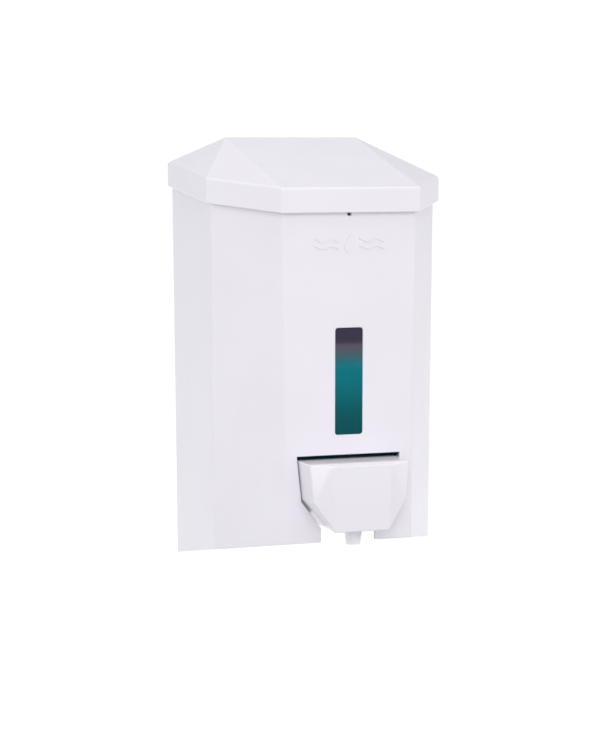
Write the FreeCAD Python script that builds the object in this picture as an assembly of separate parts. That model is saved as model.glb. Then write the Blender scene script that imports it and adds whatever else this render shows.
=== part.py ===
import FreeCAD, Part
import math
import os

# Wall mounted soap dispenser. Millimetres. X to the right, Y into the wall, Z up.
# The origin is on the wall plane, at the centre of the four wall screws.

# Body outline, measured at z = 0. Every height moves it by the drafts.
body_half_width = 55.2
side_depth = 57.0
front_half_width = 32.0
body_depth = 89.3
side_draft = 0.5
front_draft = 0.7
edge_round = 1.6

# Housing: a cover with no back, floor or roof.
housing_wall = 2.2
front_bottom_z = -80.0
bottom_slope = 9.7
rim_above_skirt = 8.0

# Lid: a hipped roof on a skirt that hangs over the housing.
skirt_front_z = 72.1
rim_slope = 7.2
skirt_height = 11.5
lid_overhang = 2.6
lid_wall = 2.0
ridge_half_length = 33.5
ridge_y = -13.8
ridge_rise = 34.65
lid_rear_gap = 1.2
lid_edge_round = 1.5
lid_lip_round = 0.5

# Lid hinge and latch.
hinge_y = -5.5
hinge_rise = 8.12
hinge_pin_radius = 1.5
hinge_lug_radius = 3.0
hinge_x = 26.0
knuckle_width = 5.2
lug_width = 3.0
hinge_side_gap = 0.4
hinge_sweep_radius = 6.2
tongue_half_width = 5.0
tongue_thickness = 1.6
tongue_drop = 3.6
tongue_inset = 5.1
latch_hole_radius = 1.0
latch_hole_drop = 0.9

# Back plate.
plate_thickness = 3.0
plate_gap = 0.3
plate_top_drop = 3.5
wall_screw_x = 35.0
wall_screw_z = 60.0
wall_hole_radius = 2.25
countersink_radius = 4.4
shelf_thickness = 2.0
shelf_depth = 40.0
shelf_lip = 0.5
shelf_gap = 0.2

# Housing fixings: a hook at each upper corner and a screw at each lower corner.
hook_inset = 11.2
hook_width = 7.0
hook_drop = 22.5
hook_lip = 2.2
hook_rise = 9.5
hook_gap = 0.4
boss_inset = 8.2
boss_reach = 9.0
boss_radius = 3.5
boss_drop = 6.0
ledge_thickness = 2.0
ledge_gap = 0.3
screw_radius = 1.45
screw_length = 8.0
screw_gap = 0.3
screw_head_radius = 3.0
screw_head_height = 2.0

# Level window.
window_half_width = 6.8
window_bottom_z = -30.5
window_top_z = 18.9
window_corner = 1.3
lens_recess = 0.4
lens_flange = 2.5
lens_flange_thickness = 1.1

# Soap tank: full depth above the pump, stepped back in front of it.
tank_clearance = 1.8
tank_rear_gap = 1.0
tank_wall = 1.5
tank_round = 4.0
tank_top_drop = 6.1
tank_step_rise = 4.2
tank_bottom_rise = 4.0
tank_step_depth = 23.3
tank_rim = 1.0
tank_rim_height = 2.0
soap_level_z = 0.0
pad_x = 30.0
pad_z = 40.0
pad_radius = 6.0

# Pump, lying along Y through the tank's lower front wall.
pump_rise = 2.0
bore_radius = 7.5
cylinder_wall = 1.5
end_wall = 2.0
flange_lip = 3.0
flange_thickness = 2.0
gasket_thickness = 1.5
nut_thickness = 4.0
nut_lip = 2.5
cap_thickness = 2.0
cap_lip = 1.0
thread_gap = 0.05
running_gap = 0.06
seat_gap = 0.02
inlet_hole_radius = 1.0
inlet_hole_circle = 3.6
valve_disc_lip = 0.9
valve_disc_thickness = 0.8
valve_stem_radius = 1.3

# Piston and its nozzle.
piston_rest_depth = 12.9
piston_stroke = 3.2
piston_end_gap = 0.6
piston_length = 4.0
seal_width = 2.0
seal_depth = 1.4
seal_gap = 0.05
rod_radius = 4.0
rod_bore_radius = 1.8
spring_collar_behind = 7.9
spring_collar_radius = 7.0
spring_collar_width = 1.5
spring_wire_radius = 0.5
spring_coil_radius = 5.6
spring_turns = 5
spring_points = 12
nozzle_reach = 5.3
nozzle_head_radius = 5.0
nozzle_head_rise = 5.5
nozzle_head_drop = 7.0
nozzle_top_radius = 4.6
nozzle_tip_radius = 3.3
nozzle_tip_drop = 0.7
nozzle_bore_radius = 1.6
nozzle_ribs = 10
nozzle_rib_width = 0.7
nozzle_rib_rise = 0.3
outlet_valve_length = 1.2

# Push lever: a faceted shell, hinged at its top.
lever_top_half_width = 24.9
lever_mid_half_width = 22.9
lever_low_half_width = 12.9
lever_top_rise = 38.2
lever_mid_rise = 20.3
lever_low_rise = 7.2
lever_brow_half_width = 24.6
lever_brow_reach = 13.3
lever_panel_top_half_width = 14.5
lever_panel_top_reach = 17.2
lever_panel_low_half_width = 13.3
lever_panel_low_reach = 16.8
lever_panel_drop = 1.2
lever_panel_low_rise = 6.5
lever_cheek_half_width = 22.7
lever_cheek_reach = 14.6
lever_wall = 1.8
lever_rear_reach = 5.0
lever_side_gap = 0.5
lever_low_gap = 1.0
lever_slot_gap = 2.0
lever_slot_half_width = 5.8
notch_half_width = 13.6
lever_pivot_behind_front = 2.9
lever_pivot_drop = 1.8
lever_pin_radius = 1.2
lever_boss_radius = 2.2
lever_boss_width = 3.0
push_gap = 0.35

# Drop emblem on the front.
emblem_z = 57.5
emblem_radius = 2.6
emblem_height = 8.0
emblem_rise = 0.35

# FAR is beyond the whole object. PAST is how far a cutting tool runs past what it cuts.
FAR = 400.0
PAST = 5.0

# Slopes, and how the outline turns at its two corners.
side_tan = math.tan(math.radians(side_draft))
front_tan = math.tan(math.radians(front_draft))
chamfer_turn = math.atan2(body_half_width - front_half_width, body_depth - side_depth)
front_turn = math.pi / 2 - chamfer_turn
bottom_wall_z = front_bottom_z - body_depth * math.tan(math.radians(bottom_slope))
rim_wall_z = skirt_front_z + body_depth * math.tan(math.radians(rim_slope))

# Lid, hinge and back plate, counted from the rim.
ridge_z = skirt_front_z + ridge_rise
hinge_z = rim_wall_z + hinge_rise
hinge_half_width = knuckle_width / 2 + hinge_side_gap + lug_width
tongue_bottom_z = skirt_front_z - tongue_drop
plate_top_z = hinge_z - plate_top_drop
hook_x = body_half_width - hook_inset
hook_z = hinge_z - hook_drop
boss_x = body_half_width - boss_inset
boss_y = -boss_reach
shelf_half_width = boss_x + boss_radius + shelf_lip

# Lever, counted from the front's lower edge.
lever_top_z = front_bottom_z + lever_top_rise
lever_mid_z = front_bottom_z + lever_mid_rise
lever_low_z = front_bottom_z + lever_low_rise
lever_panel_low_z = front_bottom_z + lever_panel_low_rise
lever_slot_top_z = lever_top_z + lever_slot_gap
lever_pivot_z = lever_top_z - lever_pivot_drop
lever_front_y = -(body_depth + (lever_top_z + lever_low_z) / 2 * front_tan)
lever_rear_y = lever_front_y + lever_rear_reach
lever_pivot_y = lever_front_y + lever_pivot_behind_front

# Tank and its shelf.
tank_inset = housing_wall + tank_clearance
tank_rear_y = -plate_thickness - tank_rear_gap
tank_top_z = skirt_front_z - tank_top_drop
tank_step_z = lever_slot_top_z + tank_step_rise
tank_bottom_z = front_bottom_z + tank_bottom_rise
tank_step_y = tank_step_depth - body_depth
plate_bottom_z = tank_bottom_z - shelf_gap - shelf_thickness
lens_depth = housing_wall + running_gap + lens_flange_thickness

# Pump and piston, from the tank's step forwards and backwards.
cylinder_radius = bore_radius + cylinder_wall
flange_radius = cylinder_radius + flange_lip
nut_across_corners = 2 * (cylinder_radius + nut_lip)
cap_radius = cylinder_radius + cap_lip
pump_z = tank_bottom_z + flange_radius + pump_rise
flange_back_y = tank_step_y - gasket_thickness
flange_front_y = flange_back_y - flange_thickness
cap_front_y = flange_front_y - cap_thickness
piston_back_y = flange_back_y + piston_rest_depth
cylinder_end_y = piston_back_y + piston_stroke + piston_end_gap + valve_disc_thickness + end_wall
valve_disc_radius = inlet_hole_circle + inlet_hole_radius + valve_disc_lip
nozzle_y = lever_front_y - nozzle_reach
nozzle_shoulder_z = pump_z - nozzle_head_drop
nozzle_tip_z = front_bottom_z - nozzle_tip_drop
spring_collar_y = nozzle_y + spring_collar_behind

X = FreeCAD.Vector(1, 0, 0)
Y = FreeCAD.Vector(0, 1, 0)
Z = FreeCAD.Vector(0, 0, 1)


def vec(x, y, z):
    return FreeCAD.Vector(x, y, z)


def front_y(z, inset=0.0):
    """Y of the housing's front face at height z, moved in by inset."""
    return -(body_depth + z * front_tan - inset)


def body_outline(z, inset=0.0, rear_y=0.0):
    """The five-sided plan outline at height z, moved in by inset, from rear right round to rear left."""
    half = body_half_width + z * side_tan - inset
    side = -(side_depth + z * front_tan - inset * math.tan(chamfer_turn / 2))
    narrow = front_half_width + z * side_tan - inset * math.tan(front_turn / 2)
    front = front_y(z, inset)
    right = [(half, rear_y), (half, side), (narrow, front)]
    return right + [(-x, y) for x, y in reversed(right)]


def flat_faced(points, faces):
    """A solid from named points and faces that list their names in order."""
    shells = []
    for names in faces:
        ring = [points[name] for name in names]
        shells.append(Part.Face(Part.makePolygon(ring + ring[:1])))
    solid = Part.Solid(Part.Shell(shells))
    if solid.Volume < 0:
        solid.reverse()
    return solid


def drafted_block(inset, rear_y, low_z, high_z, round_radius=0.0):
    """A block with the body's drafted outline, moved in by inset, between two level planes."""
    points = {}
    for level, z in (("low", low_z), ("high", high_z)):
        for i, (x, y) in enumerate(body_outline(z, inset, rear_y)):
            points[level, i] = vec(x, y, z)
    count = len(points) // 2
    faces = [[("low", i) for i in range(count)], [("high", i) for i in range(count)]]
    for i in range(count):
        j = (i + 1) % count
        faces.append([("low", i), ("low", j), ("high", j), ("high", i)])
    block = flat_faced(points, faces)
    if round_radius > 0:
        standing = [e for e in block.Edges if abs(e.tangentAt(e.FirstParameter).z) > 0.9]
        front = [e for e in standing if e.CenterOfMass.y < rear_y - 1]
        block = block.makeFillet(round_radius, front)
    return block


def box(low, high):
    """A box between two corners."""
    size = [b - a for a, b in zip(low, high)]
    return Part.makeBox(size[0], size[1], size[2], vec(*low))


def rod(radius, start, end):
    """A round bar from start to end."""
    along = vec(*end) - vec(*start)
    return Part.makeCylinder(radius, along.Length, vec(*start), along)


def rod_y(radius, y_from, y_to, x=0.0, z=pump_z):
    """A round bar along Y, on the pump's axis unless another is given."""
    return rod(radius, (x, y_from, z), (x, y_to, z))


def space_above(wall_z, slope, beyond=0.0):
    """Everything above a plane that crosses the wall at wall_z and rises towards it by slope degrees."""
    block = box((-FAR, -FAR, wall_z + beyond), (FAR, FAR, wall_z + beyond + FAR))
    block.rotate(vec(0, 0, wall_z), X, slope)
    return block


def shrunk(solid, inset, openings=()):
    """A flat-faced convex solid with each face moved in by inset, or far out where it faces an opening."""
    inner = box((-FAR / 2,) * 3, (FAR / 2,) * 3)
    for face in solid.Faces:
        out = face.normalAt(0, 0)
        is_open = any(out.getAngle(direction) < 0.2 for direction in openings)
        move = lid_overhang + edge_round if is_open else -inset
        inner = inner.cut(Part.makeCylinder(FAR, FAR, face.CenterOfMass + out * move, out))
    return inner


def both_sides(shape):
    """A shape and its mirror image, as one compound."""
    return shape.fuse(shape.mirror(vec(0, 0, 0), X))


def rounded_window(half_width, bottom_z, top_z, corner):
    """A bar along Y with the rounded section of the level window."""
    bar = box((-half_width, -FAR, bottom_z), (half_width, -tank_inset, top_z))
    along = [e for e in bar.Edges if abs(e.tangentAt(e.FirstParameter).y) > 0.9]
    return bar.makeFillet(corner, along)


def line_meet(p, q, gap_pq, r, s, gap_rs):
    """Where lines PQ and RS, each moved to its right-hand side by its gap, cross in the XZ plane."""
    lines = []
    for a, b, gap in ((p, q, gap_pq), (r, s, gap_rs)):
        dx, dz = b[0] - a[0], b[1] - a[1]
        length = math.hypot(dx, dz)
        nx, nz = -dz / length, dx / length
        lines.append((nx, nz, nx * a[0] + nz * a[1] + gap))
    (a1, b1, c1), (a2, b2, c2) = lines
    det = a1 * b2 - a2 * b1
    return (c1 * b2 - c2 * b1) / det, (a1 * c2 - a2 * c1) / det


def lever_opening():
    """The cut-out in the housing's front: the lever's outline with its gaps, and the notch below it."""
    top = (lever_top_half_width, lever_top_z)
    mid = (lever_mid_half_width, lever_mid_z)
    low = (lever_low_half_width, lever_low_z)
    notch = (notch_half_width, low[1])
    notch_foot = (notch_half_width, low[1] - 1)
    level = (0.0, lever_slot_top_z)
    level_end = (1.0, lever_slot_top_z)
    upper = line_meet(level, level_end, 0.0, top, mid, lever_side_gap)
    middle = line_meet(top, mid, lever_side_gap, mid, low, lever_low_gap)
    lower = line_meet(mid, low, lever_low_gap, notch, notch_foot, 0.0)
    foot = (notch_half_width, bottom_wall_z)
    right = [upper, middle, lower, foot]
    ring = [vec(x, -FAR, z) for x, z in right + [(-x, z) for x, z in reversed(right)]]
    return Part.Face(Part.makePolygon(ring + ring[:1])).extrude(vec(0, FAR + lever_rear_y, 0))


def housing():
    """The cover: two sides, two chamfered corners and the front, open behind, above and below."""
    cover = drafted_block(0.0, 0.0, bottom_wall_z - PAST, rim_wall_z + 4 * PAST, edge_round)
    cover = cover.cut(space_above(rim_wall_z, rim_slope, rim_above_skirt))
    cover = cover.common(space_above(bottom_wall_z, -bottom_slope))
    hollow = drafted_block(housing_wall, PAST, bottom_wall_z - 2 * PAST, rim_wall_z + 5 * PAST)
    cover = cover.cut(hollow)
    inside = drafted_block(housing_wall / 2, 0.0, bottom_wall_z, rim_wall_z)
    cover = cover.fuse(both_sides(housing_hook().common(inside)))
    cover = cover.fuse(both_sides(housing_ledge().common(inside)))
    cover = cover.fuse(both_sides(lever_boss()))
    screw_way = rod(screw_radius + screw_gap, (boss_x, boss_y, bottom_wall_z), (boss_x, boss_y, tank_bottom_z))
    cover = cover.cut(both_sides(screw_way))
    cover = cover.cut(rounded_window(window_half_width, window_bottom_z, window_top_z, window_corner))
    cover = cover.cut(lever_opening())
    cover = cover.cut(lever_bore(lever_pin_radius + seat_gap))
    cover = cover.cut(rod(hinge_sweep_radius, (-FAR, hinge_y, hinge_z), (FAR, hinge_y, hinge_z)))
    hole_z = skirt_front_z - latch_hole_drop
    cover = cover.cut(rod_y(latch_hole_radius, -FAR, -tank_inset, 0.0, hole_z))
    return cover.removeSplitter()


def housing_hook():
    """The right-hand tab that drops behind the back plate's lip."""
    low_y = -plate_thickness - hook_gap - hook_lip
    top_z = hook_z + shelf_thickness + hook_rise + hook_gap
    tab = box((hook_x - hook_width / 2, low_y, hook_z + shelf_thickness + hook_gap),
              (hook_x + hook_width / 2, -plate_thickness - hook_gap, top_z + shelf_thickness))
    arm = box((hook_x - hook_width / 2, low_y - hook_lip, top_z),
              (FAR, -plate_thickness - hook_gap, top_z + shelf_thickness))
    return tab.fuse(arm)


def plate_hook():
    """The right-hand lip on the back plate that the housing hangs on."""
    tab_y = -plate_thickness - 2 * hook_gap - hook_lip
    half = (hook_width - hook_gap) / 2
    base = box((hook_x - half, tab_y - hook_lip, hook_z),
               (hook_x + half, -plate_thickness, hook_z + shelf_thickness))
    lip = box((hook_x - half, tab_y - hook_lip, hook_z),
              (hook_x + half, tab_y, hook_z + shelf_thickness + hook_rise))
    return base.fuse(lip)


def boss_bottom_z():
    return plate_bottom_z - boss_drop


def housing_ledge():
    """The right-hand ledge that the lower fixing screw pulls up against the boss."""
    top_z = boss_bottom_z() - ledge_gap
    return box((boss_x - boss_radius, boss_y - boss_radius - 1, top_z - ledge_thickness),
               (FAR, -plate_thickness, top_z))


def lever_boss():
    """The right-hand boss behind the housing's front that holds a lever pin."""
    start_x = lever_top_half_width + lever_side_gap + 0.3
    y = lever_pivot_y
    boss = rod(lever_boss_radius, (start_x, y, lever_pivot_z), (start_x + lever_boss_width, y, lever_pivot_z))
    heel = box((start_x, front_y(lever_pivot_z, housing_wall / 2), lever_pivot_z - lever_boss_radius),
               (start_x + lever_boss_width, y, lever_pivot_z + lever_boss_radius))
    return boss.fuse(heel)


def lever_bore(radius):
    """The bore on the lever's axis, right across."""
    y = lever_pivot_y
    reach = lever_top_half_width + lever_side_gap + lever_boss_width - 0.2
    return rod(radius, (-reach, y, lever_pivot_z), (reach, y, lever_pivot_z))


def lever_points():
    """Corners of the lever's outer shape, right side first, then their mirror images."""
    plane = lever_front_y
    rear = lever_rear_y
    right = {
        "rear_top": (lever_top_half_width, rear, lever_top_z),
        "rear_mid": (lever_mid_half_width, rear, lever_mid_z),
        "rear_low": (lever_low_half_width, rear, lever_low_z),
        "top": (lever_top_half_width, plane, lever_top_z),
        "mid": (lever_mid_half_width, plane, lever_mid_z),
        "low": (lever_low_half_width, plane, lever_low_z),
        "brow": (lever_brow_half_width, plane - lever_brow_reach, lever_top_z - lever_panel_drop / 3),
        "cheek": (lever_cheek_half_width, plane - lever_cheek_reach, lever_mid_z),
        "panel_top": (lever_panel_top_half_width, plane - lever_panel_top_reach, lever_top_z - lever_panel_drop),
        "panel_low": (lever_panel_low_half_width, plane - lever_panel_low_reach, lever_panel_low_z),
    }
    points = {}
    for name, (x, y, z) in right.items():
        points[name] = vec(x, y, z)
        points[name + "_left"] = vec(-x, y, z)
    return points


def lever_outer():
    """The faceted outer shape of the push lever, solid."""
    one_side = [
        ["rear_top", "top", "mid", "rear_mid"],
        ["rear_mid", "mid", "low", "rear_low"],
        ["top", "brow", "mid"],
        ["brow", "cheek", "mid"],
        ["brow", "panel_top", "cheek"],
        ["panel_top", "panel_low", "cheek"],
        ["mid", "cheek", "panel_low"],
        ["mid", "panel_low", "low"],
    ]
    across = [
        ["rear_top", "top"],
        ["top", "brow"],
        ["brow", "panel_top"],
        ["panel_top", "panel_low"],
        ["panel_low", "low"],
        ["low", "rear_low"],
    ]
    faces = list(one_side)
    for names in one_side:
        faces.append([name + "_left" for name in reversed(names)])
    for a, b in across:
        faces.append([a, b, b + "_left", a + "_left"])
    rear = ["rear_top", "rear_mid", "rear_low"]
    faces.append(rear + [name + "_left" for name in reversed(rear)])
    return flat_faced(lever_points(), faces)


def push_lever():
    """The lever: a shell open behind, with a slot for the nozzle and bosses on its pins."""
    outer = lever_outer()
    lever = outer.cut(shrunk(outer, lever_wall, [Y]))
    y = lever_pivot_y
    inner_x = lever_top_half_width - lever_wall - lever_boss_width
    eye = rod(lever_boss_radius, (inner_x, y, lever_pivot_z), (lever_top_half_width, y, lever_pivot_z))
    eye = eye.common(shrunk(outer, lever_wall / 3))
    lever = lever.fuse(both_sides(eye))
    lever = lever.cut(lever_bore(lever_pin_radius + running_gap))
    panel_back = lever_panel_inner_y(lever_low_z)
    slot = box((-lever_slot_half_width, panel_back + 0.2, lever_panel_low_z - 5),
               (lever_slot_half_width, lever_rear_y + 5, lever_low_z + 8))
    return lever.cut(slot)


def lever_panel_inner_y(z):
    """Y of the inside of the lever's front panel at height z."""
    top_z = lever_top_z - lever_panel_drop
    share = (top_z - z) / (top_z - lever_panel_low_z)
    reach = lever_panel_top_reach + share * (lever_panel_low_reach - lever_panel_top_reach)
    return lever_front_y - reach + lever_wall


def lever_pin():
    """The right-hand stub pin of the lever."""
    y = lever_pivot_y
    start = lever_top_half_width - lever_wall - lever_boss_width + 0.3
    end = lever_top_half_width + lever_side_gap + lever_boss_width - 0.4
    return rod(lever_pin_radius, (start, y, lever_pivot_z), (end, y, lever_pivot_z))


def lid_outer():
    """The lid's outer shape, solid: skirt and hipped roof."""
    outline = body_outline(skirt_front_z + rim_above_skirt, -lid_overhang, -lid_rear_gap)
    slope = math.tan(math.radians(rim_slope))
    points = {}
    for i, (x, y) in enumerate(outline):
        low_z = rim_wall_z + y * slope
        points["low", i] = vec(x, y, low_z)
        points["high", i] = vec(x, y, low_z + skirt_height)
    points["ridge", 0] = vec(ridge_half_length, ridge_y, ridge_z)
    points["ridge", 1] = vec(-ridge_half_length, ridge_y, ridge_z)
    faces = [[("low", i) for i in range(6)]]
    for i in range(6):
        j = (i + 1) % 6
        faces.append([("low", i), ("low", j), ("high", j), ("high", i)])
    faces.append([("high", 0), ("high", 1), ("ridge", 0)])
    faces.append([("high", 1), ("high", 2), ("ridge", 0)])
    faces.append([("high", 2), ("high", 3), ("ridge", 1), ("ridge", 0)])
    faces.append([("high", 3), ("high", 4), ("ridge", 1)])
    faces.append([("high", 4), ("high", 5), ("ridge", 1)])
    faces.append([("high", 5), ("high", 0), ("ridge", 0), ("ridge", 1)])
    return flat_faced(points, faces)


def lid_rounded(outer):
    """The lid's outer shape with soft hips, eaves and corners, and a smaller round under its skirt."""
    behind = [e for e in outer.Edges if e.CenterOfMass.y > -lid_rear_gap - seat_gap]
    below = underside_edges(outer)
    soft = [e for e in outer.Edges if not any(e.isSame(other) for other in behind + below)]
    softened = outer.makeFillet(lid_edge_round, soft)
    lip = [e for e in underside_edges(softened) if e.CenterOfMass.y < -lid_rear_gap - seat_gap]
    return softened.makeFillet(lid_lip_round, lip)


def underside_edges(solid):
    """The edges of the face that looks down."""
    return [f for f in solid.Faces if f.normalAt(0, 0).z < -0.9][0].Edges


def lid():
    """The lid: a shell open below and behind, with two hinge knuckles and a latch tongue."""
    outer = lid_outer()
    inner = shrunk(outer, lid_wall, [Y, vec(0, 0, -1)])
    within = shrunk(outer, lid_wall / 2)
    shell = lid_rounded(outer).cut(inner)
    shell = shell.fuse(both_sides(knuckle().common(within)))
    shell = shell.fuse(both_sides(knuckle_eye()))
    shell = shell.fuse(latch_tongue().common(within))
    return shell.cut(hinge_bore(hinge_pin_radius + running_gap)).removeSplitter()


def knuckle():
    """The right-hand web from the roof down to the hinge pin."""
    half = knuckle_width / 2
    return box((hinge_x - half, hinge_y - hinge_lug_radius, hinge_z),
               (hinge_x + half, hinge_y + hinge_lug_radius, hinge_z + 3 * hinge_lug_radius))


def knuckle_eye():
    half = knuckle_width / 2
    return rod(hinge_lug_radius, (hinge_x - half, hinge_y, hinge_z), (hinge_x + half, hinge_y, hinge_z))


def latch_tongue():
    """The tongue inside the lid's front, behind the release hole."""
    outer_y = front_y(tongue_bottom_z, tongue_inset)
    return box((-tongue_half_width, outer_y, tongue_bottom_z),
               (tongue_half_width, outer_y + tongue_thickness, skirt_front_z + 3 * skirt_height))


def hinge_bore(radius):
    """The bores of both hinges, as one bar across the object."""
    reach = hinge_x + hinge_half_width + hinge_side_gap
    return rod(radius, (-reach, hinge_y, hinge_z), (reach, hinge_y, hinge_z))


def hinge_lugs():
    """The two right-hand lugs on the back plate, one on each side of the knuckle."""
    lugs = []
    inner = knuckle_width / 2 + hinge_side_gap
    for start in (hinge_x - inner - lug_width, hinge_x + inner):
        eye = rod(hinge_lug_radius, (start, hinge_y, hinge_z), (start + lug_width, hinge_y, hinge_z))
        neck = box((start, hinge_y - hinge_lug_radius, plate_top_z - 3),
                   (start + lug_width, hinge_y + hinge_lug_radius, hinge_z))
        foot = box((start, hinge_y - hinge_lug_radius, plate_top_z - 6),
                   (start + lug_width, 0, plate_top_z))
        lugs.append(eye.fuse([neck, foot]))
    return lugs[0].fuse(lugs[1])


def lid_pin():
    """The right-hand hinge pin."""
    return rod(hinge_pin_radius, (hinge_x - hinge_half_width, hinge_y, hinge_z),
               (hinge_x + hinge_half_width, hinge_y, hinge_z))


def back_plate():
    """The plate on the wall, with the hinge lugs, hooks, shelf, screw bosses and four countersunk holes."""
    outline = drafted_block(housing_wall + plate_gap, 0.0, plate_bottom_z, plate_top_z)
    plate = outline.common(box((-FAR, -plate_thickness, -FAR), (FAR, 0, FAR)))
    shelf_top_z = plate_bottom_z + shelf_thickness
    plate = plate.fuse(box((-shelf_half_width, -shelf_depth, plate_bottom_z), (shelf_half_width, 0, shelf_top_z)))
    boss = rod(boss_radius, (boss_x, boss_y, boss_bottom_z()), (boss_x, boss_y, shelf_top_z))
    plate = plate.fuse([both_sides(boss), both_sides(plate_hook()), both_sides(hinge_lugs())])
    pilot = rod(screw_radius + seat_gap, (boss_x, boss_y, boss_bottom_z() - 1), (boss_x, boss_y, plate_bottom_z))
    plate = plate.cut(both_sides(pilot))
    plate = plate.cut(hinge_bore(hinge_pin_radius + seat_gap))
    for x in (-wall_screw_x, wall_screw_x):
        for z in (-wall_screw_z, wall_screw_z):
            plate = plate.cut(rod_y(wall_hole_radius, -plate_thickness - 1, 1, x, z))
            sink_depth = countersink_radius - wall_hole_radius
            sink = Part.makeCone(countersink_radius, wall_hole_radius, sink_depth, vec(x, -plate_thickness, z), Y)
            plate = plate.cut(sink)
    return plate.removeSplitter()


def housing_screw():
    """The right-hand screw that holds the housing's ledge up to the boss."""
    seat_z = boss_bottom_z() - ledge_gap - ledge_thickness
    shank = rod(screw_radius, (boss_x, boss_y, seat_z), (boss_x, boss_y, seat_z + screw_length))
    head = rod(screw_head_radius, (boss_x, boss_y, seat_z - screw_head_height), (boss_x, boss_y, seat_z))
    arm = screw_head_radius * 0.6
    for dx, dy in ((arm, 0.4), (0.4, arm)):
        recess = box((boss_x - dx, boss_y - dy, seat_z - screw_head_height), (boss_x + dx, boss_y + dy, seat_z - 0.8))
        head = head.cut(recess)
    return shank.fuse(head)


def window_lens():
    """The smoked lens: a plug that fills the window and a flange behind it."""
    gap = running_gap
    plug_bar = rounded_window(window_half_width - gap, window_bottom_z + gap, window_top_z - gap, window_corner)
    flange_bar = rounded_window(window_half_width + lens_flange, window_bottom_z - lens_flange,
                                window_top_z + lens_flange, window_corner + lens_flange)
    levels = (window_bottom_z - 10, window_top_z + 10)
    behind = drafted_block(lens_depth, FAR / 10, *levels)
    plug = plug_bar.common(drafted_block(lens_recess, 0.0, *levels)).cut(behind)
    flange = flange_bar.common(drafted_block(housing_wall + gap, 0.0, *levels)).cut(behind)
    return plug.fuse(flange).removeSplitter()


def drop_emblem():
    """A raised water drop on the front."""
    centre_z = emblem_z - emblem_height / 2 + emblem_radius
    tip_z = centre_z + emblem_height - emblem_radius
    lean = math.asin(emblem_radius / (tip_z - centre_z))
    touch_x = emblem_radius * math.cos(lean)
    touch_z = centre_z + emblem_radius * math.sin(lean)
    y = front_y(emblem_z) - 5
    left, right, tip = vec(-touch_x, y, touch_z), vec(touch_x, y, touch_z), vec(0, y, tip_z)
    bottom = vec(0, y, centre_z - emblem_radius)
    edges = [Part.LineSegment(tip, left).toShape(), Part.Arc(left, bottom, right).toShape(),
             Part.LineSegment(right, tip).toShape()]
    bar = Part.Face(Part.Wire(edges)).extrude(vec(0, 10, 0))
    levels = (emblem_z - emblem_height, emblem_z + emblem_height)
    return bar.common(drafted_block(-emblem_rise, 0.0, *levels)).cut(drafted_block(0.0, FAR / 10, *levels))


def tank_block(wall, top_z):
    """The tank's stepped outer shape moved in by wall, up to top_z."""
    block = drafted_block(tank_inset + wall, tank_rear_y - wall, tank_bottom_z + wall, top_z, tank_round - wall)
    step = box((-FAR, -FAR, -FAR), (FAR, tank_step_y + wall, tank_step_z + wall))
    return block.cut(step)


def soap_tank():
    """The open-topped tank, with a rim round its mouth and the pump's hole."""
    tank = tank_block(0.0, tank_top_z)
    rim_low = tank_top_z - tank_rim_height
    rim = drafted_block(tank_inset - tank_rim, tank_rear_y, rim_low, tank_top_z, tank_round + tank_rim)
    tank = tank.fuse(rim).cut(tank_block(tank_wall, tank_top_z + 20))
    return tank.cut(rod_y(cylinder_radius + 0.2, tank_step_y - 5, tank_step_y + tank_wall + 2)).removeSplitter()


def liquid_soap():
    """The soap up to its level, with room left round the pump."""
    soap = tank_block(tank_wall + seat_gap, soap_level_z)
    nut_room = nut_across_corners / 2 + 0.2
    nut_back = tank_step_y + tank_wall + nut_thickness + 0.2
    soap = soap.cut(rod_y(nut_room, tank_step_y, nut_back))
    return soap.cut(rod_y(cylinder_radius + 0.2, tank_step_y, cylinder_end_y + 3 * valve_stem_radius))


def tank_pad():
    """The right-hand rubber pad between the back plate and the tank."""
    return rod_y(pad_radius, -plate_thickness - tank_rear_gap + 0.05, -plate_thickness, pad_x, pad_z)


def pump_cylinder():
    """The barrel, with a flange outside the tank and an end wall with inlet holes inside it."""
    barrel = rod_y(cylinder_radius, flange_back_y, cylinder_end_y)
    barrel = barrel.fuse(rod_y(flange_radius, flange_front_y, flange_back_y))
    barrel = barrel.cut(rod_y(bore_radius, flange_front_y, cylinder_end_y - end_wall))
    barrel = barrel.cut(rod_y(valve_stem_radius + thread_gap, flange_front_y, cylinder_end_y))
    for i in range(6):
        angle = math.radians(60 * i)
        x = inlet_hole_circle * math.cos(angle)
        z = pump_z + inlet_hole_circle * math.sin(angle)
        barrel = barrel.cut(rod_y(inlet_hole_radius, flange_front_y, cylinder_end_y, x, z))
    return barrel


def inlet_valve():
    """The rubber umbrella valve over the inlet holes."""
    inside_y = cylinder_end_y - end_wall
    disc = rod_y(valve_disc_radius, inside_y - valve_disc_thickness, inside_y)
    stem = rod_y(valve_stem_radius, inside_y, cylinder_end_y + 2)
    bulb = Part.makeSphere(valve_stem_radius + 0.5, vec(0, cylinder_end_y + valve_stem_radius + 0.5, pump_z))
    return disc.fuse([stem, bulb])


def pump_gasket():
    ring = rod_y(flange_radius - 0.5, flange_back_y, tank_step_y)
    return ring.cut(rod_y(cylinder_radius + thread_gap, flange_back_y, tank_step_y))


def pump_lock_nut():
    """The hexagonal nut inside the tank wall."""
    start = tank_step_y + tank_wall
    ring = []
    for i in range(6):
        angle = math.radians(60 * i + 30)
        ring.append(vec(nut_across_corners / 2 * math.cos(angle), start,
                        pump_z + nut_across_corners / 2 * math.sin(angle)))
    nut = Part.Face(Part.makePolygon(ring + ring[:1])).extrude(vec(0, nut_thickness, 0))
    return nut.cut(rod_y(cylinder_radius + thread_gap, start, start + nut_thickness))


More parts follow.
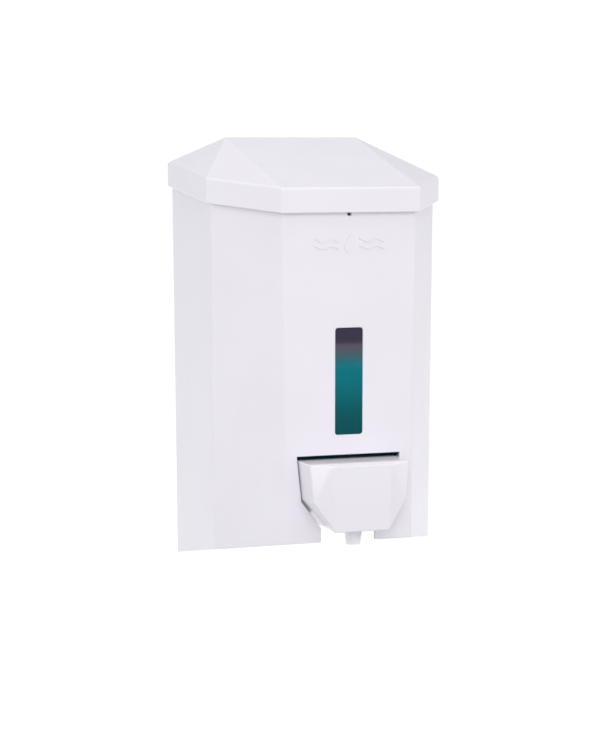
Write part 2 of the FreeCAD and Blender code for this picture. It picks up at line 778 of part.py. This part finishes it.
def pump_cap():
    """The cap in front of the barrel that guides the piston rod."""
    cap = rod_y(cap_radius, cap_front_y, flange_front_y)
    cap = cap.fuse(rod_y(bore_radius - thread_gap, flange_front_y, flange_front_y + 3))
    return cap.cut(rod_y(rod_radius + running_gap, cap_front_y, flange_front_y + 3))


def piston():
    """The piston head, rod, spring collar and nozzle, in one piece."""
    head_radius = bore_radius - 0.3
    front = piston_back_y - piston_length
    tip_y = lever_panel_inner_y(pump_z) + push_gap
    body = rod_y(head_radius, front, piston_back_y)
    groove_low = piston_back_y - (piston_length + seal_width) / 2
    groove = rod_y(bore_radius, groove_low, groove_low + seal_width)
    groove = groove.cut(rod_y(bore_radius - seal_depth, groove_low, groove_low + seal_width))
    body = body.cut(groove)
    body = body.fuse(rod_y(rod_radius, tip_y + rod_radius / 2, piston_back_y))
    nose = Part.makeSphere(rod_radius * 1.25, vec(0, tip_y + rod_radius * 1.25, pump_z))
    body = body.fuse(nose.common(rod_y(rod_radius, tip_y, tip_y + rod_radius)))
    body = body.fuse(rod_y(spring_collar_radius, spring_collar_y - spring_collar_width, spring_collar_y))
    body = body.fuse(nozzle_outer())
    body = body.cut(rod_y(rod_bore_radius, nozzle_y, piston_back_y))
    return body.cut(rod(nozzle_bore_radius, (0, nozzle_y, pump_z), (0, nozzle_y, nozzle_tip_z))).removeSplitter()


def nozzle_outer():
    """The nozzle head and its ribbed, tapered spout."""
    head = rod(nozzle_head_radius, (0, nozzle_y, nozzle_shoulder_z), (0, nozzle_y, pump_z + nozzle_head_rise))
    length = nozzle_shoulder_z - nozzle_tip_z
    foot = vec(0, nozzle_y, nozzle_tip_z)
    spout = Part.makeCone(nozzle_tip_radius, nozzle_top_radius, length, foot, Z)
    ribbed = Part.makeCone(nozzle_tip_radius, nozzle_top_radius + nozzle_rib_rise, length, foot, Z)
    for i in range(nozzle_ribs):
        rib = box((0, nozzle_y - nozzle_rib_width / 2, nozzle_tip_z),
                  (nozzle_head_radius, nozzle_y + nozzle_rib_width / 2, nozzle_shoulder_z))
        rib.rotate(foot, Z, 360 / nozzle_ribs * i)
        spout = spout.fuse(rib.common(ribbed))
    return head.fuse(spout)


def piston_seal():
    """The rubber ring in the piston's groove."""
    low = piston_back_y - (piston_length + seal_width) / 2
    ring = rod_y(bore_radius - seal_gap, low + seat_gap, low + seal_width - seat_gap)
    return ring.cut(rod_y(bore_radius - seal_depth + seat_gap, low, low + seal_width))


def outlet_valve():
    """The slit rubber disc just inside the nozzle's tip."""
    low_z = nozzle_tip_z + 0.6
    disc = rod(nozzle_bore_radius - seat_gap, (0, nozzle_y, low_z), (0, nozzle_y, low_z + outlet_valve_length))
    slit = box((-nozzle_bore_radius * 0.7, nozzle_y - 0.1, low_z),
               (nozzle_bore_radius * 0.7, nozzle_y + 0.1, low_z + outlet_valve_length))
    return disc.cut(slit)


def pump_spring():
    """The return spring round the piston rod, between the cap and the collar."""
    start = spring_collar_y + spring_wire_radius + seat_gap
    length = cap_front_y - spring_wire_radius - seat_gap - start
    points = []
    for i in range(spring_points * spring_turns + 1):
        angle = 2 * math.pi * i / spring_points
        share = i / (spring_points * spring_turns)
        points.append(vec(spring_coil_radius * math.cos(angle), start + share * length,
                          pump_z + spring_coil_radius * math.sin(angle)))
    curve = Part.BSplineCurve()
    curve.interpolate(points)
    section = Part.Circle(points[0], curve.tangent(curve.FirstParameter)[0], spring_wire_radius)
    path = Part.Wire([curve.toShape()])
    return path.makePipeShell([Part.Wire([section.toShape()])], True, True)


def write(node, shape):
    """Writes one sub-part as parts/node.step."""
    if shape.ShapeType == "Compound" and len(shape.Solids) == 1:
        shape = shape.Solids[0]
    shape.exportStep("parts/" + node + ".step")


def main():
    os.makedirs("parts", exist_ok=True)
    single = [housing, back_plate, lid, window_lens, drop_emblem, soap_tank, liquid_soap, pump_cylinder,
              pump_cap, pump_gasket, pump_lock_nut, inlet_valve, pump_spring, piston, piston_seal,
              outlet_valve, push_lever]
    for make in single:
        write(make.__name__, make())
    for make in (lid_pin, lever_pin, housing_screw, tank_pad):
        right = make()
        write(make.__name__ + "_right", right)
        write(make.__name__ + "_left", right.mirror(vec(0, 0, 0), X))


main()
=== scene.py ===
import math
import bmesh
import bpy
from mathutils import Matrix, Vector


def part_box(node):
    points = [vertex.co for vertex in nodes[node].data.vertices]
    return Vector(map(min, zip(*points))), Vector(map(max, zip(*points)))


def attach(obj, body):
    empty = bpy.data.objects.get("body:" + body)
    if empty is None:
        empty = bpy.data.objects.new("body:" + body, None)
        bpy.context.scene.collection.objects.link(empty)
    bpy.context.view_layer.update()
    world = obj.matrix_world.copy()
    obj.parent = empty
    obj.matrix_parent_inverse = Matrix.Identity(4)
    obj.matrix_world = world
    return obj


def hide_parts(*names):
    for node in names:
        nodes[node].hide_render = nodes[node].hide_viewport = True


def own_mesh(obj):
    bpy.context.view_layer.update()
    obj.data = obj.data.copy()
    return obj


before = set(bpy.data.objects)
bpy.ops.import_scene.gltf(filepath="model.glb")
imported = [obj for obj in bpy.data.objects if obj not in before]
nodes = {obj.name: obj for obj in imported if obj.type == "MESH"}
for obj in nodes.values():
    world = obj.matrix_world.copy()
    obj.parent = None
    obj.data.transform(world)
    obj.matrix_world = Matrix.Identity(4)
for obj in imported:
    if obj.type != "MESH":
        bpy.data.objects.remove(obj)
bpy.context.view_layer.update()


# Camera.
# A long lens looks slightly down on the dispenser from its front left, as a shop shows such a thing.
# The upright is turned a hair, and the small shift centres the dispenser in the picture.
camera_data = bpy.data.cameras.new("camera")
camera_data.lens = 118.8
camera_data.sensor_width = 36.0
camera_data.shift_x = -0.0036
camera_data.shift_y = 0.0176
camera_data.clip_end = 50.0
camera = bpy.data.objects.new("camera", camera_data)
bpy.context.scene.collection.objects.link(camera)
bpy.context.scene.camera = camera
look = Vector((0.3555, 0.9301, -0.0928)).normalized()
camera_right = look.cross(Vector((0.0358, 0.0857, 0.9957))).normalized()
camera_up = camera_right.cross(look)
camera.matrix_world = Matrix((
    (camera_right.x, camera_up.x, -look.x, -0.4252),
    (camera_right.y, camera_up.y, -look.y, -1.1418),
    (camera_right.z, camera_up.z, -look.z, 0.0968),
    (0, 0, 0, 1)))


# Studio.
# A white room: an even pale surround, one large soft box ahead and above, one overhead, and soft boxes
# to the sides. The floor is a plain pale sheet well below the dispenser, which glows white further back.
def soft_box(name, place, size, power, target=(0.0, -0.04, 0.0)):
    light = bpy.data.lights.new(name, "AREA")
    light.shape = "RECTANGLE"
    light.size, light.size_y = size
    light.energy = power
    light.color = (1.0, 0.985, 1.0)
    box = bpy.data.objects.new(name, light)
    bpy.context.scene.collection.objects.link(box)
    away = Vector(place) - Vector(target)
    box.matrix_world = Matrix.Translation(place) @ away.to_track_quat("Z", "Y").to_matrix().to_4x4()


soft_box("front_high", (-0.3, -1.7, 1.0), (1.0, 0.8), 7.4)
soft_box("left_strip", (-0.77, -1.78, 0.4), (0.5, 1.2), 4.5)
soft_box("right_strip", (1.75, -0.67, 0.4), (0.4, 1.2), 2.8)
soft_box("left_back", (-1.8, 0.7, 0.3), (0.15, 1.2), 3.0)
soft_box("overhead", (0.0, -0.3, 1.5), (0.8, 0.8), 6.0)

light_above = 0.575
light_below = 1.6
dimming_from = -0.5
dimming_to = 0.3
seen_white = 1.05
bpy.context.scene.view_settings.view_transform = "Standard"
world = bpy.data.worlds.new("white_room")
world.use_nodes = True
bpy.context.scene.world = world
room = world.node_tree
surround = room.nodes["Background"]
surround.inputs["Color"].default_value = (0.98, 0.97, 1.0, 1)
direction = room.nodes.new("ShaderNodeTexCoord")
parts = room.nodes.new("ShaderNodeSeparateXYZ")
height = room.nodes.new("ShaderNodeMapRange")
height.interpolation_type = "SMOOTHSTEP"
height.inputs["From Min"].default_value = dimming_from
height.inputs["From Max"].default_value = dimming_to
height.inputs["To Min"].default_value = light_below
height.inputs["To Max"].default_value = light_above
room.links.new(direction.outputs["Generated"], parts.inputs["Vector"])
room.links.new(parts.outputs["Z"], height.inputs["Value"])
room.links.new(height.outputs["Result"], surround.inputs["Strength"])
backdrop = room.nodes.new("ShaderNodeBackground")
backdrop.inputs["Color"].default_value = (1, 1, 1, 1)
backdrop.inputs["Strength"].default_value = seen_white
ray = room.nodes.new("ShaderNodeLightPath")
either = room.nodes.new("ShaderNodeMixShader")
room.links.new(ray.outputs["Is Camera Ray"], either.inputs["Fac"])
room.links.new(surround.outputs["Background"], either.inputs[1])
room.links.new(backdrop.outputs["Background"], either.inputs[2])
room.links.new(either.outputs["Shader"], room.nodes["World Output"].inputs["Surface"])

floor_level = -1.2
floor_reach = 6.0
floor_glow = 0.7
glow_from = 0.3
glow_full = 1.6
floor_mesh = bpy.data.meshes.new("floor")
sheet = bmesh.new()
bmesh.ops.create_grid(sheet, x_segments=1, y_segments=1, size=floor_reach,
                      matrix=Matrix.Translation((0, 0, floor_level)))
sheet.to_mesh(floor_mesh)
sheet.free()
floor = bpy.data.objects.new("floor", floor_mesh)
bpy.context.scene.collection.objects.link(floor)
floor_paint = bpy.data.materials.new("floor_paint")
floor_paint.use_nodes = True
floor_shader = floor_paint.node_tree.nodes["Principled BSDF"]
floor_shader.inputs["Base Color"].default_value = (0.86, 0.86, 0.86, 1)
floor_shader.inputs["Roughness"].default_value = 0.9
floor_shader.inputs["Specular IOR Level"].default_value = 0.1
floor_shader.inputs["Emission Color"].default_value = (1, 1, 1, 1)
floor_tree = floor_paint.node_tree
floor_place = floor_tree.nodes.new("ShaderNodeTexCoord")
floor_parts = floor_tree.nodes.new("ShaderNodeSeparateXYZ")
fade = floor_tree.nodes.new("ShaderNodeMapRange")
fade.interpolation_type = "SMOOTHSTEP"
fade.inputs["From Min"].default_value = glow_from
fade.inputs["From Max"].default_value = glow_full
fade.inputs["To Max"].default_value = floor_glow
floor_tree.links.new(floor_place.outputs["Object"], floor_parts.inputs["Vector"])
floor_tree.links.new(floor_parts.outputs["Y"], fade.inputs["Value"])
floor_tree.links.new(fade.outputs["Result"], floor_shader.inputs["Emission Strength"])
floor_mesh.materials.append(floor_paint)


# Back plate.
# It is a moulded white ABS plate, screwed to the wall through four countersunk holes.
# Its hooks and its shelf carry the housing and the tank, and its lugs carry the lid.
def grain(tree, size, detail=2.0):
    """The value of a cloudy pattern whose blotches are about that many metres across."""
    place = tree.nodes.new("ShaderNodeTexCoord")
    pattern = tree.nodes.new("ShaderNodeTexNoise")
    pattern.inputs["Scale"].default_value = 1.0 / size
    pattern.inputs["Detail"].default_value = detail
    tree.links.new(place.outputs["Object"], pattern.inputs["Vector"])
    return pattern.outputs["Fac"]


def between(tree, value, low, high, start=0.3, end=0.7):
    """A number that goes from low to high while value goes from start to end."""
    ramp = tree.nodes.new("ShaderNodeMapRange")
    ramp.interpolation_type = "SMOOTHSTEP"
    ramp.inputs["From Min"].default_value = start
    ramp.inputs["From Max"].default_value = end
    ramp.inputs["To Min"].default_value = low
    ramp.inputs["To Max"].default_value = high
    tree.links.new(value, ramp.inputs["Value"])
    return ramp.outputs["Result"]


def tinted(tree, share, first, second):
    """A colour that goes from first to second with share."""
    mix = tree.nodes.new("ShaderNodeMix")
    mix.data_type = "RGBA"
    mix.inputs["A"].default_value = (*first, 1)
    mix.inputs["B"].default_value = (*second, 1)
    tree.links.new(share, mix.inputs["Factor"])
    return mix.outputs["Result"]


def relief(tree, height, depth, under=None):
    """A bump of that depth in metres, laid over another one if it is given."""
    bump = tree.nodes.new("ShaderNodeBump")
    bump.inputs["Distance"].default_value = depth
    tree.links.new(height, bump.inputs["Height"])
    if under is not None:
        tree.links.new(under, bump.inputs["Normal"])
    return bump.outputs["Normal"]


def moulding_skin(name, roughness, pore_depth=0.0000015, wave_depth=0.00003):
    """The skin of a moulding: its gloss, a fine even grain and the slow waviness of a cooled wall."""
    pore_size = 0.0008
    wave_size = 0.022
    gloss_patch = 0.006
    finish = bpy.data.materials.new(name)
    finish.use_nodes = True
    tree = finish.node_tree
    shader = tree.nodes["Principled BSDF"]
    satin = between(tree, grain(tree, gloss_patch, 4.0), roughness * 0.88, roughness * 1.15)
    tree.links.new(satin, shader.inputs["Roughness"])
    waves = relief(tree, grain(tree, wave_size), wave_depth)
    tree.links.new(relief(tree, grain(tree, pore_size), pore_depth, waves), shader.inputs["Normal"])
    return finish


def moulded(name, colour, roughness, **skin):
    """Moulded plastic or rubber: the skin, and a faint clouding of the colour."""
    cloud_size = 0.03
    darkening = 0.02
    finish = moulding_skin(name, roughness, **skin)
    tree = finish.node_tree
    darker = [c * (1 - darkening) for c in colour]
    clouds = between(tree, grain(tree, cloud_size), 0.0, 1.0)
    tree.links.new(tinted(tree, clouds, colour, darker), tree.nodes["Principled BSDF"].inputs["Base Color"])
    return finish


def dress(finish, *names):
    """Gives CAD nodes their finish."""
    for name in names:
        nodes[name].data.materials.clear()
        nodes[name].data.materials.append(finish)


white_abs = moulded("white_abs", (0.865, 0.85, 0.9), 0.14)
dress(white_abs, "back_plate")


# Housing.
# It is one deep shell of glossy white ABS with drafted walls, open behind, above and below.
# It hangs on the plate's hooks, and two screws hold it below.
def new_piece(name, shape, finish, body, smooth_up_to=40.0):
    """An object made from a finished bmesh, smooth over its soft edges, that rides on a body."""
    mesh = bpy.data.meshes.new(name)
    shape.to_mesh(mesh)
    shape.free()
    mesh.shade_smooth()
    mesh.set_sharp_from_angle(angle=math.radians(smooth_up_to))
    mesh.materials.append(finish)
    piece = bpy.data.objects.new(name, mesh)
    bpy.context.scene.collection.objects.link(piece)
    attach(piece, body)
    return piece


def flat_between_rounds(piece):
    """Keeps broad faces flat, so that only the narrow rounds between them turn the light."""
    weighted = piece.modifiers.new("flat_faces", "WEIGHTED_NORMAL")
    weighted.keep_sharp = True
    weighted.weight = 80


def outside_softened(node, centre, radius, least_turn):
    """A merged copy of a CAD node, with its outer edges rounded, all but those of its rear rim."""
    merge_distance = 0.000002
    flat_within = 0.5
    least_reach = 0.004
    shape = bmesh.new()
    shape.from_mesh(nodes[node].data)
    bmesh.ops.remove_doubles(shape, verts=shape.verts[:], dist=merge_distance)
    bmesh.ops.dissolve_limit(shape, angle_limit=math.radians(flat_within), verts=shape.verts[:],
                             edges=shape.edges[:], delimit=set())
    outer = {f for f in shape.faces if f.normal.dot(f.calc_center_median() - centre) > least_reach}
    rear = max(v.co.y for v in shape.verts) - radius
    sharp = [e for e in shape.edges
             if e.calc_face_angle() > math.radians(least_turn) and any(f in outer for f in e.link_faces)
             and min(v.co.y for v in e.verts) < rear]
    bmesh.ops.bevel(shape, geom=sharp, offset=radius, offset_type="OFFSET", affect="EDGES",
                    segments=3, profile=0.5, material=-1, clamp_overlap=False)
    bmesh.ops.dissolve_degenerate(shape, dist=merge_distance / 2, edges=shape.edges[:])
    return shape


housing_low, housing_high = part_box("housing")
housing_centre = (housing_low + housing_high) / 2
housing_edge = 0.0004
housing_least_turn = 25.0
shell = outside_softened("housing", housing_centre, housing_edge, housing_least_turn)
housing_shell = new_piece("housing_shell", shell, white_abs, "body")
flat_between_rounds(housing_shell)
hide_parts("housing")


# Raised ornament.
# A drop stands in low relief above the window, between two pairs of short waves.
# They are part of the housing's moulding, so they share its plastic.
dress(white_abs, "drop_emblem")
emblem_low, emblem_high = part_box("drop_emblem")
wave_length = 0.0125
wave_width = 0.0009
wave_swing = 0.0007
wave_turns = 1.5
wave_gap = 0.0022
wave_pitch = 0.0032
wave_steps = 36
wave_edge = 0.00012
front_lean = math.tan(math.radians(0.7))
emblem_middle = (emblem_low + emblem_high) / 2
waves = bmesh.new()
for side in (-1, 1):
    for row in (-0.5, 0.5):
        strip = bmesh.ops.create_grid(waves, x_segments=wave_steps, y_segments=1, size=0.5)["verts"]
        middle_x = side * (emblem_high.x + wave_gap + wave_length / 2)
        for v in strip:
            along = v.co.x
            across = v.co.y * wave_width
            swing = wave_swing * math.sin(2 * math.pi * wave_turns * along)
            z = emblem_middle.z + row * wave_pitch + across + swing
            face_y = emblem_low.y - (z - emblem_high.z) * front_lean
            v.co = (middle_x + along * wave_length, face_y, z)
risen = bmesh.ops.extrude_face_region(waves, geom=waves.faces[:])["geom"]
bmesh.ops.translate(waves, vec=(0, emblem_high.y - emblem_low.y, 0),
                    verts=[g for g in risen if isinstance(g, bmesh.types.BMVert)])
bmesh.ops.recalc_face_normals(waves, faces=waves.faces[:])
rims = [e for e in waves.edges if e.calc_face_angle() > math.radians(60)]
bmesh.ops.bevel(waves, geom=rims, offset=wave_edge, offset_type="OFFSET", affect="EDGES",
                segments=2, profile=0.5, material=-1)
new_piece("wave_relief", waves, white_abs, "body")


# Window.
# A smoked clear lens is pressed into the housing's slot from inside, held by its flange.
# It is painted with the soap's colour below the level, darker towards the bottom as painted shade, a film's
# colour just above it, and painted shade for the dark, unlit case on top.
def height_share(tree, low_z, high_z):
    """A value that goes smoothly from 0 at low_z to 1 at high_z."""
    place = tree.nodes.new("ShaderNodeTexCoord")
    parts = tree.nodes.new("ShaderNodeSeparateXYZ")
    tree.links.new(place.outputs["Object"], parts.inputs["Vector"])
    return between(tree, parts.outputs["Z"], 0.0, 1.0, low_z, high_z)


def opacity_by_height(finish, low_z, high_z, below, above):
    """Lets a see-through moulding be clearer below the soap's level than above it."""
    tree = finish.node_tree
    opacity = between(tree, height_share(tree, low_z, high_z), below, above, 0.0, 1.0)
    tree.links.new(opacity, tree.nodes["Principled BSDF"].inputs["Alpha"])


# The lens's colours are painted: the soap seen through it, lighter near its level and darker below as painted
# shade, then the film, then painted shade for the inside of the case.
shaded_soap_bottom_colour = (0.0, 0.09, 0.1)
lit_soap_top_colour = (0.0, 0.2, 0.24)
thin_film = (0.02, 0.16, 0.19)
thinner_film = (0.065, 0.12, 0.14)
film_edge = (0.1, 0.092, 0.125)
shaded_case_inside = (0.045, 0.036, 0.066)
view_low_z = -0.035
view_high_z = 0.014
smoked = moulding_skin("smoked_clear", 0.08, wave_depth=0.00001)
smoked_tree = smoked.node_tree
smoked_shader = smoked_tree.nodes["Principled BSDF"]
seen_inside = smoked_tree.nodes.new("ShaderNodeValToRGB")
shades = seen_inside.color_ramp
shades.interpolation = "EASE"
shades.elements.remove(shades.elements[1])
shades.elements[0].color = (*shaded_soap_bottom_colour, 1)
for share, colour in ((0.8, lit_soap_top_colour), (0.878, thin_film), (0.946, thinner_film),
                      (0.986, film_edge), (1.0, shaded_case_inside)):
    shades.elements.new(share).color = (*colour, 1)
smoked_tree.links.new(height_share(smoked_tree, view_low_z, view_high_z), seen_inside.inputs["Fac"])
smoked_tree.links.new(seen_inside.outputs["Color"], smoked_shader.inputs["Base Color"])
opacity_by_height(smoked, -0.001, 0.002, 0.85, 0.95)
smoked_shader.inputs["Specular IOR Level"].default_value = 0.1
dress(smoked, "window_lens")


# Lid.
# It is a hipped white ABS roof with soft edges and a skirt over the housing's rim.
# It turns on two steel pins behind, and a tongue inside its front catches the housing.
dress(white_abs, "lid")

steel = bpy.data.materials.new("steel")
steel.use_nodes = True
steel_tree = steel.node_tree
steel_shader = steel_tree.nodes["Principled BSDF"]
steel_shader.inputs["Metallic"].default_value = 1.0
bright_steel = (0.62, 0.62, 0.64)
dull_steel = (0.5, 0.5, 0.52)
dulling = between(steel_tree, grain(steel_tree, 0.002), 0.0, 1.0)
handling = between(steel_tree, grain(steel_tree, 0.0006, 3.0), 0.22, 0.38)
drawing_marks = relief(steel_tree, grain(steel_tree, 0.0003), 0.000004)
steel_tree.links.new(tinted(steel_tree, dulling, bright_steel, dull_steel), steel_shader.inputs["Base Color"])
steel_tree.links.new(handling, steel_shader.inputs["Roughness"])
steel_tree.links.new(drawing_marks, steel_shader.inputs["Normal"])
dress(steel, "lid_pin_right", "lid_pin_left", "lever_pin_right", "lever_pin_left")


# Push lever.
# It is a faceted hollow key of white ABS, open behind, that turns on two stub pins in its upper corners.
# Pressed in at its foot, it drives the pump's rod back.
white_lever = moulded("white_lever", (0.865, 0.85, 0.895), 0.12)
lever_low, lever_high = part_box("push_lever")
lever_centre = Vector((0, lever_high.y, (lever_low.z + lever_high.z) / 2))
lever_edge = 0.0006
lever_least_turn = 4.0
key = outside_softened("push_lever", lever_centre, lever_edge, lever_least_turn)
lever_shell = new_piece("lever_shell", key, white_lever, "lever")
flat_between_rounds(lever_shell)
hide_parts("push_lever")


# Tank and soap.
# The tank is a blow-moulded milky polypropylene bottle, open on top, with rubber pads behind it.
# The soap is a teal liquid that wets the wall up to its level and makes it clear there.
tank_pp = moulded("tank_pp", (0.8, 0.83, 0.86), 0.3, wave_depth=0.00001)
tank_pp.node_tree.nodes["Principled BSDF"].inputs["Specular IOR Level"].default_value = 0.1
opacity_by_height(tank_pp, -0.001, 0.001, 0.008, 0.55)
dress(tank_pp, "soap_tank")

soap_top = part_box("liquid_soap")[1].z
# The soap's colour is painted light: lit near its top, where light reaches, and painted shade further down.
light_reaches = 0.045
lit_soap = (0.0, 0.27, 0.33)
shaded_deep_soap = (0.0, 0.1, 0.115)
soap = bpy.data.materials.new("soap")
soap.use_nodes = True
soap_tree = soap.node_tree
soap_shader = soap_tree.nodes["Principled BSDF"]
soap_shader.inputs["Roughness"].default_value = 0.12
soap_shader.inputs["Specular IOR Level"].default_value = 0.15
light_share = height_share(soap_tree, soap_top - light_reaches, soap_top)
soap_ripple = relief(soap_tree, grain(soap_tree, 0.012), 0.0002)
soap_tree.links.new(tinted(soap_tree, light_share, shaded_deep_soap, lit_soap), soap_shader.inputs["Base Color"])
soap_tree.links.new(soap_ripple, soap_shader.inputs["Normal"])
dress(soap, "liquid_soap")

pad_rubber = moulded("pad_rubber", (0.03, 0.03, 0.032), 0.75, pore_depth=0.00003)
dress(pad_rubber, "tank_pad_right", "tank_pad_left")


# Pump.
# A white acetal cylinder passes through the tank's front wall, clamped by a nut on a rubber gasket.
# A cap closes its front, and a rubber umbrella valve in its end wall lets the soap in.
pump_plastic = moulded("pump_plastic", (0.8, 0.8, 0.82), 0.38)
dress(pump_plastic, "pump_cylinder", "pump_cap", "pump_lock_nut")
valve_rubber = moulded("valve_rubber", (0.28, 0.29, 0.31), 0.6, pore_depth=0.00001)
dress(valve_rubber, "pump_gasket", "inlet_valve", "piston_seal", "outlet_valve")


# Piston and nozzle.
# The rod and the ribbed nozzle are one natural polypropylene moulding with the soap's way inside.
# The lever pushes its head, so it slides in the cylinder with its rubber seal.
natural_pp = moulded("natural_pp", (0.93, 0.93, 0.96), 0.3)
natural_shader = natural_pp.node_tree.nodes["Principled BSDF"]
natural_shader.inputs["Subsurface Weight"].default_value = 0.35
natural_shader.inputs["Subsurface Radius"].default_value = (0.003, 0.003, 0.003)
dress(natural_pp, "piston")


# Return spring.
# It is a stainless wire spring with closed ends, round the rod between the cap and the rod's collar.
# In use it shortens as the rod is pushed in; here it is one fixed coil that rides on the body.
spring_low, spring_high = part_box("pump_spring")
wire_radius = 0.0005
coil_radius = (spring_high.x - spring_low.x) / 2 - wire_radius
spring_axis = Vector((0, 0, (spring_low.z + spring_high.z) / 2))
closed_turns = 1.0
open_turns = 4.0
steps_per_turn = 28
wire_sides = 10
closed_rise = 2.1 * wire_radius
wire_length_y = spring_high.y - spring_low.y - 2 * wire_radius
open_rise = (wire_length_y - 2 * closed_turns * closed_rise) / open_turns
coil = bmesh.new()
wire_start = Matrix.Translation((coil_radius, spring_low.y + wire_radius, spring_axis.z))
wire_end = bmesh.ops.create_circle(coil, cap_ends=True, segments=wire_sides, radius=wire_radius,
                                   matrix=wire_start)["verts"]
head = list({f for v in wire_end for f in v.link_faces})
for turns, rise in ((closed_turns, closed_rise), (open_turns, open_rise), (closed_turns, closed_rise)):
    head = bmesh.ops.spin(coil, geom=head, cent=spring_axis, axis=(0, 1, 0), angle=2 * math.pi * turns,
                          dvec=(0, rise / steps_per_turn, 0),
                          steps=int(turns * steps_per_turn))["geom_last"]
bmesh.ops.recalc_face_normals(coil, faces=coil.faces[:])
spring_steel = steel.copy()
spring_steel.name = "spring_steel"
spring = new_piece("return_spring", coil, spring_steel, "body")
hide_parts("pump_spring")
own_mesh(spring)


# Housing screws.
# Two steel pan-head screws come up through the housing's ledges into the plate's bosses.
dress(steel, "housing_screw_right", "housing_screw_left")
